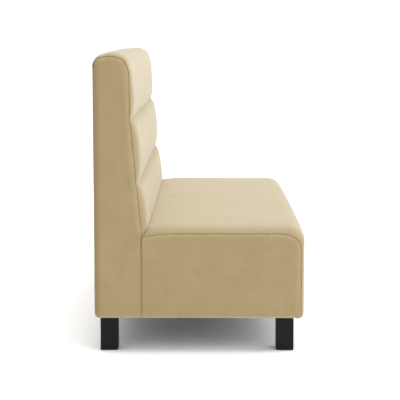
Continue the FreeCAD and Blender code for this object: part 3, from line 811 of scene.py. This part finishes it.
# %% Build a panel from rings
ring_steps = np.array([0, 0.6, 1.3, 2.1, 3.0, 4.1, 5.3, 6.6, 8.0, 9.6, 11.4, 13.6, 16.5,
                       20.5, 26, 33, 42, 52]) * mm
inner_shares = np.array([0.25, 0.5, 0.75])
rear_lip = 2.5 * mm


def panel_points(flat, away, kind):
    """The panel's places as points, with its shaped edge, slight unevenness and gathers."""
    points = at_station(flat, 0.0)
    uneven = waves(points, (0.1, 0.07, 0.09), seed=23) * 0.4
    uneven += waves(points, (0.1, 0.025, 0.03), seed=29) * 0.12
    gathers = waves(points, (0.1, 0.016, 0.016), seed=31) * near(away - 9 * mm, 8 * mm) * kind[:, 0]
    depth = panel_depth(away, kind) + (0.5 - uneven) * mm * fade(away, 4 * mm, 36 * mm)
    points[:, 0] = half_length - (depth + gathers * 0.22 * mm)
    return points


def band(first, second, around):
    """Quads between two rings of points that start at the given numbers."""
    return [(first + i, first + (i + 1) % around, second + (i + 1) % around, second + i)
            for i in range(around)]


def end_panel(rim, weights, first, last, spacing, fan):
    """A closed padded panel whose rings run from the rim to a middle line."""
    line, starts, directions, on_line = middle_rays(np.array(first), np.array(last), spacing, fan)
    reach = ray_lengths(starts, directions, rim)
    rings = [starts + directions * (reach - step)[:, None] for step in ring_steps]
    rest = reach - ring_steps[-1]
    rings += [starts + directions * (rest * (1 - share))[:, None] for share in inner_shares]
    away, index = (np.concatenate(part) for part in
                   zip(*(nearest_on_rim(places, rim) for places in (*rings, line))))
    kind = weights[index]
    points = panel_points(np.vstack([*rings, line]), away, kind)
    around, base, back = len(starts), len(rings) * len(starts), len(points)
    rim_ring = points[:around].copy()
    rear_line = points[base:].copy()
    rim_ring[:, 0] = rear_line[:, 0] = pad_x
    under = rim_ring.copy()
    under[:, 1:] -= directions * (-1, 1) * rear_lip
    points = np.vstack([points, rim_ring, under, rear_line])
    faces = [face for ring in range(0, base - around, around) for face in band(ring, ring + around, around)]
    for ring, middle, turn in ((base - around, base, 1), (back + around, back + 2 * around, -1)):
        for i in range(around):
            after = (i + 1) % around
            here, there = middle + on_line[i], middle + on_line[after]
            corners = (ring + i, ring + after, there, here)
            faces.append((corners if here != there else corners[:3])[::turn])
    faces += band(back, 0, around) + band(back + around, back, around)
    # Painted highlight: how much lighter the colour is made on the sewn ridges and along the lower edge, in
    # place of the light that the rolled edges catch
    rubbed = kind[:, 0] * near(away - 6 * mm, 8 * mm) * 0.6 + kind[:, 3] * near(away - 2 * mm, 5 * mm)
    return points, faces, np.append(rubbed, np.zeros(len(points) - len(rubbed)))


def place_panel(name, shape, side):
    """The panel on the right, or its mirror image on the left, as a smooth object."""
    points, faces, rubbed = shape
    placed = points.copy()
    placed[:, 0] *= side
    if side < 0:
        faces = [face[::-1] for face in faces]
    panel = smooth_object(name, placed, faces)
    # The painted highlight is stored on the points for the finish to read
    panel.data.attributes.new("rubbed", "FLOAT", "POINT").data.foreach_set("value", rubbed)
    return panel


def make_end_panels():
    """The four end panels, each in the space of its CAD pad."""
    half_depth = back_tuck / 2
    low, high = (half_depth, underside + half_depth), (upper_depth / 2, bench_height - 95 * mm)
    back_shape = end_panel(*drawn_rim(back_rim()), low, high, spacing=5.5 * mm, fan=62)
    half_height = (seat_height - seat_crown - underside) / 2
    level = underside + half_height
    ends = (seat_rear + half_height, level), (bench_depth - front_bulge - half_height, level)
    seat_shape = end_panel(*drawn_rim(seat_rim()), *ends, spacing=6 * mm, fan=84)
    return {f"{part}_end_cover_{name}": place_panel(f"{part}_end_panel_{name}", shape, side)
            for name, side in (("left", -1), ("right", 1))
            for part, shape in (("back", back_shape), ("seat", seat_shape))}


end_panels = make_end_panels()
for node, panel in end_panels.items():
    subdivide(panel)
    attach(panel, "bench")
    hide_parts(node)
    report(panel)

# %% [markdown]
# ## Outer back
# The wall side is closed by one plain sheet of the same cover over a thin pad. It is tacked
# along its top edge and both sides, so its rim is rolled, and it wraps round the lower rear
# edge to the underside.


# %% Make the outer back
def make_outer_back():
    """The padded sheet on the wall side, as a closed form."""
    edge_x = pad_x - 0.3 * mm
    edge_steps = np.array([0, 0.8, 1.8, 3.2, 5, 8, 13, 20]) * mm
    inner = edge_x - edge_steps[-1]
    inner_stations = 140
    foot_count, rise_count, roll_count = 8, 96, 5
    xs = np.concatenate([edge_steps[:-1] - edge_x, np.linspace(-inner, inner, inner_stations),
                         (edge_x - edge_steps[:-1])[::-1]])
    radius, roll, thickness = rear_foot_radius, 2.5 * mm, 2.9 * mm
    section = np.vstack([
        arc_run((radius, underside + radius), (radius, radius), 270, 180, foot_count),
        smooth_run([(0, underside + radius), (0, outer_cover_top - roll)], rise_count, crowd=0.3),
        arc_run((roll, outer_cover_top - roll), (roll, roll), 180, 90, roll_count),
        [(roll, outer_cover_top)],
    ])
    grid = np.array([at_station(section, x) for x in xs])
    from_edge = edge_x - np.abs(grid[..., 0])
    edge_gap = np.minimum(from_edge, outer_cover_top - grid[..., 2])
    move = -rolled_edge(from_edge, width=6 * mm, depth=2.4 * mm)
    move -= (1 - fade(edge_gap, 4 * mm, 30 * mm)) * 0.8 * mm
    move += waves(grid, (0.16, 0.1, 0.2), seed=37) * 0.3 * mm * fade(edge_gap, 0, 60 * mm) - 0.3 * mm
    move += waves(grid, (0.03, 0.1, 0.03), seed=41) * near(edge_gap - 8 * mm, 8 * mm) * 0.25 * mm
    grid += grid_normals(grid) * move[..., None]
    slant = (radius - thickness) * math.cos(math.pi / 4)
    rear_places = [(thickness, outer_cover_top - mm), (thickness, underside + radius),
                   (radius - slant, underside + radius - slant), (radius, underside + thickness)]
    return closed_cushion("outer_back", grid, rear_places)


outer_back = subdivide(make_outer_back())
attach(outer_back, "bench")
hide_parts("outer_back_cover")
report(outer_back)

# %% [markdown]
# ## Finishes
# Each material is built from nodes, so it needs no pictures. A pattern's scale comes from
# the real size of what makes it: a noise with features of some millimetres has a scale of
# one over that size in metres. Patterns read object coordinates, which are the bench's own
# metres, so a pattern runs on from one piece to the next and never slides.


# %% Turn colours and add nodes
def colour(code):
    """An sRGB hex colour as linear red, green, blue and alpha."""
    channels = [int(code[i:i + 2], 16) / 255 for i in (1, 3, 5)]
    return [c / 12.92 if c <= 0.04045 else ((c + 0.055) / 1.055) ** 2.4 for c in channels] + [1.0]


def add_node(tree, kind, sockets=None, **settings):
    """Add a node with its settings, and return its outputs.

    Each socket gets a value, a hex colour or, where an output is given for it, a link.
    """
    made = tree.nodes.new("ShaderNode" + kind)
    for name, value in settings.items():
        setattr(made, name, value)
    for name, value in (sockets or {}).items():
        if isinstance(value, bpy.types.NodeSocket):
            tree.links.new(value, made.inputs[name])
        else:
            made.inputs[name].default_value = colour(value) if isinstance(value, str) else value
    return made.outputs


print("tan as linear:", [round(c, 3) for c in colour("#AF9B76")])


# %% Start and close a finish
finishes = {}


def empty_tree(owner):
    """Empty the node tree of a material or world, and return add_node for that tree."""
    owner.use_nodes = True
    owner.node_tree.nodes.clear()
    return partial(add_node, owner.node_tree)


def new_finish(slot, name):
    """Start a slot's material: add_node for its tree, and the bench's own coordinates."""
    finishes[slot] = bpy.data.materials.new(name)
    add = empty_tree(finishes[slot])
    print(f"{name} for {slot}")
    return add, add("TexCoord")["Object"]


def close_finish(add, tone, dull, relief, sockets=None):
    """Link tone, dullness and relief to a shader that has the given sockets."""
    shader = add("BsdfPrincipled", {"Base Color": tone[2], "Roughness": dull[0],
                                    "Normal": relief[0], **(sockets or {})})
    add("OutputMaterial", {"Surface": shader[0]})


# %% [markdown]
# ### Brushed nubuck faux leather
# The cover is a polyester microfibre with a brushed polyurethane face, sold as nubuck faux
# leather. The eye reads a matt, almost chalky tan with a soft bloom at grazing angles,
# because the fine nap scatters light there. Up close the tone is cloudy, from the way the
# nap lies, and a dense fine grain breaks the surface. Two marks are painted light and shade:
# a painted highlight along the sewn ridges and the lower edges of the end panels, and a
# darker band of painted shade along the wall side, where the rear edge rolls away from the
# light. The real grain is about 0.3 mm; it is drawn at 1.1 mm here, as coarse as it needs
# to be to show in a picture of the whole bench.

# %% Finish the covers
add, place = new_finish("upholstery", "brushed_nubuck_faux_leather")
cloud_size, patch_size, nap_size, grain_size = 0.075, 0.016, 0.0035, 0.0011
clouds = add("TexNoise", {"Vector": place, "Scale": 1 / cloud_size, "Detail": 4, "Roughness": 0.62})
patches = add("TexNoise", {"Vector": place, "Scale": 1 / patch_size, "Detail": 3, "Roughness": 0.6})
nap = add("TexNoise", {"Vector": place, "Scale": 1 / nap_size, "Detail": 2})
grain = add("TexVoronoi", {"Vector": place, "Scale": 1 / grain_size}, feature="SMOOTH_F1")
cloudy = add("MapRange", {"Value": clouds["Fac"], "From Min": 0.36, "From Max": 0.64})
patchy = add("MapRange", {"Value": patches["Fac"], "From Min": 0.35, "From Max": 0.65, "To Max": 0.22})
napped = add("MapRange", {"Value": nap["Fac"], "From Min": 0.3, "From Max": 0.7, "To Max": 0.2})
# Painted highlight read from the end panels' points, lighter on the sewn ridges and lower edges and broken up
# by the patches
rubbed = add("Attribute", attribute_name="rubbed")
uneven = add("Math", {0: rubbed["Fac"], 1: patches["Fac"]}, operation="MULTIPLY")
side = add("SeparateXYZ", {"Vector": place})
# Painted shade: the colour darkens towards the wall plane in place of the shade on the end panels' rolled
# rear edges; the outer back lies in this band too
painted_rear_shade = add("MapRange", {"Value": side["Y"], "From Min": wall_plane - 30 * mm,
                         "From Max": wall_plane - 4 * mm, "To Max": 0.5}, interpolation_type="SMOOTHSTEP")
tone = add("Mix", {0: cloudy[0], 6: "#AC9769", 7: "#B39E71"}, data_type="RGBA")
# The last two mixes are painted light and shade: a painted highlight in #DCC79C and a painted shade in
# #7E6B48
for share, shade in ((patchy, "#BAA478"), (napped, "#A48D5F"), (uneven, "#DCC79C"), (painted_rear_shade, "#7E6B48")):
    tone = add("Mix", {0: share[0], 6: tone[2], 7: shade}, data_type="RGBA")
matt = add("MapRange", {"Value": patches["Fac"], "From Min": 0.3, "From Max": 0.7, "To Min": 0.56,
                        "To Max": 0.68})
fine = add("Bump", {"Height": grain["Distance"], "Strength": 0.18, "Distance": 0.0003})
soft = add("Bump", {"Height": nap["Fac"], "Strength": 0.16, "Distance": 0.0007, "Normal": fine[0]})
close_finish(add, tone, matt, soft, {"Specular IOR Level": 0.5, "Sheen Weight": 0.6,
                                     "Sheen Roughness": 0.52, "Sheen Tint": "#FFFEF6"})

covers = (seat_cushion, back_cushion, outer_back, *end_panels.values())
for piece in covers:
    piece.data.materials.append(finishes["upholstery"])
print(f"nubuck on {len(covers)} pieces")

# %% [markdown]
# ### Black lacquered beech
# The legs are square beech blocks sprayed with a satin black lacquer. The pores still
# print through it faintly along the grain.

# %% Finish the legs
add, place = new_finish("leg_black", "satin_black_lacquered_beech")
grain_width, speck_size = 0.0016, 0.004
stretched = add("Mapping", {"Vector": place, "Scale": (1, 1, 0.06)})
pores = add("TexNoise", {"Vector": stretched[0], "Scale": 1 / grain_width, "Detail": 3})
specks = add("TexNoise", {"Vector": place, "Scale": 1 / speck_size, "Detail": 2})
tone = add("Mix", {0: pores["Fac"], 6: "#0C0C0B", 7: "#151413"}, data_type="RGBA")
satin = add("MapRange", {"Value": specks["Fac"], "From Min": 0.3, "From Max": 0.7,
                         "To Min": 0.34, "To Max": 0.46})
relief = add("Bump", {"Height": pores["Fac"], "Strength": 0.25, "Distance": 0.0002})
close_finish(add, tone, satin, relief, {"Specular IOR Level": 0.16})

# %% [markdown]
# ### Timber inside
# Frames, rails and blocks are birch plywood: pale, with fine grain on the faces. The grain
# runs along the bench on the rails, which is where the eye would find it from below. The
# wave texture turns by 20 times its scale in a metre, so pi / 10 over a ply's thickness
# gives one wave to each ply.

# %% Finish the timber
add, place = new_finish("plywood", "sanded_birch_plywood")
grain_width, ply_thickness = 0.004, 0.0028
stretched = add("Mapping", {"Vector": place, "Scale": (0.08, 1, 1)})
grain = add("TexNoise", {"Vector": stretched[0], "Scale": 1 / grain_width, "Detail": 4, "Distortion": 0.6})
plies = add("TexWave", {"Vector": place, "Scale": math.pi / 10 / ply_thickness}, bands_direction="Y")
layered = add("MapRange", {"Value": plies["Fac"], "To Max": 0.12})
tone = add("Mix", {0: grain["Fac"], 6: "#D9C19A", 7: "#BE9F70"}, data_type="RGBA")
dark = add("Mix", {0: layered[0], 6: tone[2], 7: "#8F6E46"}, data_type="RGBA")
dull = add("MapRange", {"Value": grain["Fac"], "To Min": 0.5, "To Max": 0.7})
relief = add("Bump", {"Height": grain["Fac"], "Strength": 0.2, "Distance": 0.0003})
close_finish(add, dark, dull, relief)

# %% [markdown]
# ### Felt and dust cloth
# A needled felt pad keeps the springs off the foam, and a black spun-bonded polypropylene
# cloth closes the underside. Both are tangles of fibre with no weave. The felt's fibres
# show as short flecks. The cloth has the small square weld points of its making, 1.5 mm
# apart, drawn 3 mm apart so that they show.

# %% Finish the felt and the dust cloth
add, place = new_finish("felt", "needled_wool_felt")
fleck_size, tuft_size = 0.0018, 0.009
flecks = add("TexNoise", {"Vector": place, "Scale": 1 / fleck_size, "Detail": 5})
tufts = add("TexNoise", {"Vector": place, "Scale": 1 / tuft_size})
tone = add("Mix", {0: flecks["Fac"], 6: "#5A5852", 7: "#8A867C"}, data_type="RGBA")
dull = add("MapRange", {"Value": tufts["Fac"], "To Min": 0.88, "To Max": 1.0})
relief = add("Bump", {"Height": flecks["Fac"], "Strength": 0.5, "Distance": 0.0008})
close_finish(add, tone, dull, relief, {"Sheen Weight": 0.2})

add, place = new_finish("dust_cloth", "spunbonded_polypropylene")
weld_pitch, fibre_size = 0.003, 0.0012
welds = add("TexVoronoi", {"Vector": place, "Scale": 1 / weld_pitch, "Randomness": 0.0}, distance="CHEBYCHEV")
fibres = add("TexNoise", {"Vector": place, "Scale": 1 / fibre_size, "Detail": 4})
tone = add("Mix", {0: fibres["Fac"], 6: "#0F0F10", 7: "#262627"}, data_type="RGBA")
dull = add("MapRange", {"Value": fibres["Fac"], "To Min": 0.72, "To Max": 0.9})
relief = add("Bump", {"Height": welds["Distance"], "Strength": 0.4, "Distance": 0.0004})
close_finish(add, tone, dull, relief)

# %% [markdown]
# ### Metal and nylon
# Springs are oiled steel wire, dark and slightly brown. Bolts, nuts, clips, screws and the
# glide stems are zinc plated: a pale metal with the faint crystals of the plating. The
# glide pads are moulded nylon, black, with a fine spark-eroded texture from the mould.


# %% Finish the metal and the nylon
def make_metal(slot, name, dark, light, crystal_size, smooth, rough):
    """A metal with a faintly varied tone and roughness."""
    add, place = new_finish(slot, name)
    crystals = add("TexVoronoi", {"Vector": place, "Scale": 1 / crystal_size})
    marks = add("TexNoise", {"Vector": place, "Scale": 0.4 / crystal_size, "Detail": 4})
    tone = add("Mix", {0: marks["Fac"], 6: dark, 7: light}, data_type="RGBA")
    shine = add("MapRange", {"Value": crystals["Distance"], "To Min": smooth, "To Max": rough})
    relief = add("Bump", {"Height": marks["Fac"], "Strength": 0.15, "Distance": 0.0002})
    close_finish(add, tone, shine, relief, {"Metallic": 1.0})


make_metal("steel", "zinc_plated_steel", "#B9BBBC", "#D8D8D2",
           crystal_size=0.003, smooth=0.28, rough=0.45)
make_metal("spring_steel", "oiled_spring_steel", "#4A4744", "#6B6762",
           crystal_size=0.002, smooth=0.3, rough=0.5)

add, place = new_finish("glide_plastic", "moulded_nylon")
texture_size = 0.0009
sparks = add("TexNoise", {"Vector": place, "Scale": 1 / texture_size, "Detail": 3})
tone = add("Mix", {0: sparks["Fac"], 6: "#161616", 7: "#232323"}, data_type="RGBA")
dull = add("MapRange", {"Value": sparks["Fac"], "To Min": 0.42, "To Max": 0.6})
relief = add("Bump", {"Height": sparks["Fac"], "Strength": 0.3, "Distance": 0.0002})
close_finish(add, tone, dull, relief)

# %% [markdown]
# The record says which finish each CAD node takes, so the dressed nodes follow it. A foam
# node is never shown, because its cushion stands for it.

# %% Dress the CAD nodes
for part in frame["record"]["subparts"]:
    node, slot = nodes[part["node"]], part["material_slot"]
    if slot in finishes and not node.hide_render:
        node.data.materials.clear()
        node.data.materials.append(finishes[slot])
print("finishes in use:", sorted({n.data.materials[0].name for n in nodes.values() if not n.hide_render}))

# %% [markdown]
# ## Floor and light
# The bench stands on a white sweep in an even white studio. A world that is brighter in
# front than behind does most of the work: it fills every side softly and leaves a soft dark
# pool under the seat. One wide lamp overhead and one towards the front add the slight
# direction that the seat and the channels show. The camera sees the world as plain white.

# %% Lay the floor
floor_half = 40.0
floor = smooth_object("floor", [(-floor_half, -floor_half, 0), (floor_half, -floor_half, 0),
                                (floor_half, floor_half, 0), (-floor_half, floor_half, 0)], [(0, 1, 2, 3)])


def seen_white(add, plain, white):
    """The white shader for camera, glossy and transmission rays, the plain one for the rest."""
    rays = add("LightPath")
    seen = add("Math", {0: rays["Is Camera Ray"], 1: rays["Is Glossy Ray"]}, operation="MAXIMUM")
    seen = add("Math", {0: seen[0], 1: rays["Is Transmission Ray"]}, operation="MAXIMUM")
    return add("MixShader", {0: seen[0], 1: plain[0], 2: white[0]})[0]


def make_floor_paint(lift):
    """White matt paint; a picture of it is lifted to plain white where no shadow falls."""
    material = bpy.data.materials.new("white_sweep_paint")
    add = empty_tree(material)
    paint = add("BsdfDiffuse", {"Color": "#F2F2F1"})
    white = add("BsdfDiffuse", {"Color": (lift, lift, lift, 1.0)})
    add("OutputMaterial", {"Surface": seen_white(add, paint, white)})
    return material


floor.data.materials.append(make_floor_paint(lift=1.48))
print(f"floor {2 * floor_half:.0f} m wide")


# %% Light the studio
def make_world(front_level, rear_level):
    """A world that lights more from the front than from the rear and looks plain white."""
    world = bpy.data.worlds.new("white_studio")
    add = empty_tree(world)
    way = add("SeparateXYZ", {"Vector": add("TexCoord")["Generated"]})
    level = add("MapRange", {"Value": way["Y"], "From Min": -1.0, "To Min": front_level,
                             "To Max": rear_level})
    light = add("Background", {"Color": (1.0, 1.0, 1.0, 1.0), "Strength": level[0]})
    white = add("Background", {"Color": (1.0, 1.0, 1.0, 1.0), "Strength": 1.0})
    add("OutputWorld", {"Surface": seen_white(add, light, white)})
    return world


def add_softbox(name, place, size, power):
    """A wide square lamp that points at the middle of the bench."""
    data = bpy.data.lights.new(name, "AREA")
    data.size = size
    data.energy = power
    lamp = add_object(name, data)
    lamp.location = place
    bench_middle = Vector((0, 0, 0.5))
    lamp.rotation_euler = (bench_middle - Vector(place)).to_track_quat("-Z", "Y").to_euler()


front_level, rear_level = 1.18, 0.52
bpy.context.scene.world = make_world(front_level, rear_level)
add_softbox("overhead_softbox", (0.2, -0.6, 5.0), size=4.0, power=94)
add_softbox("front_softbox", (0.6, -5.0, 2.5), size=3.5, power=42)
bpy.context.scene.view_settings.view_transform = "Standard"
print(f"world lights from {rear_level} to {front_level}, with two softboxes")
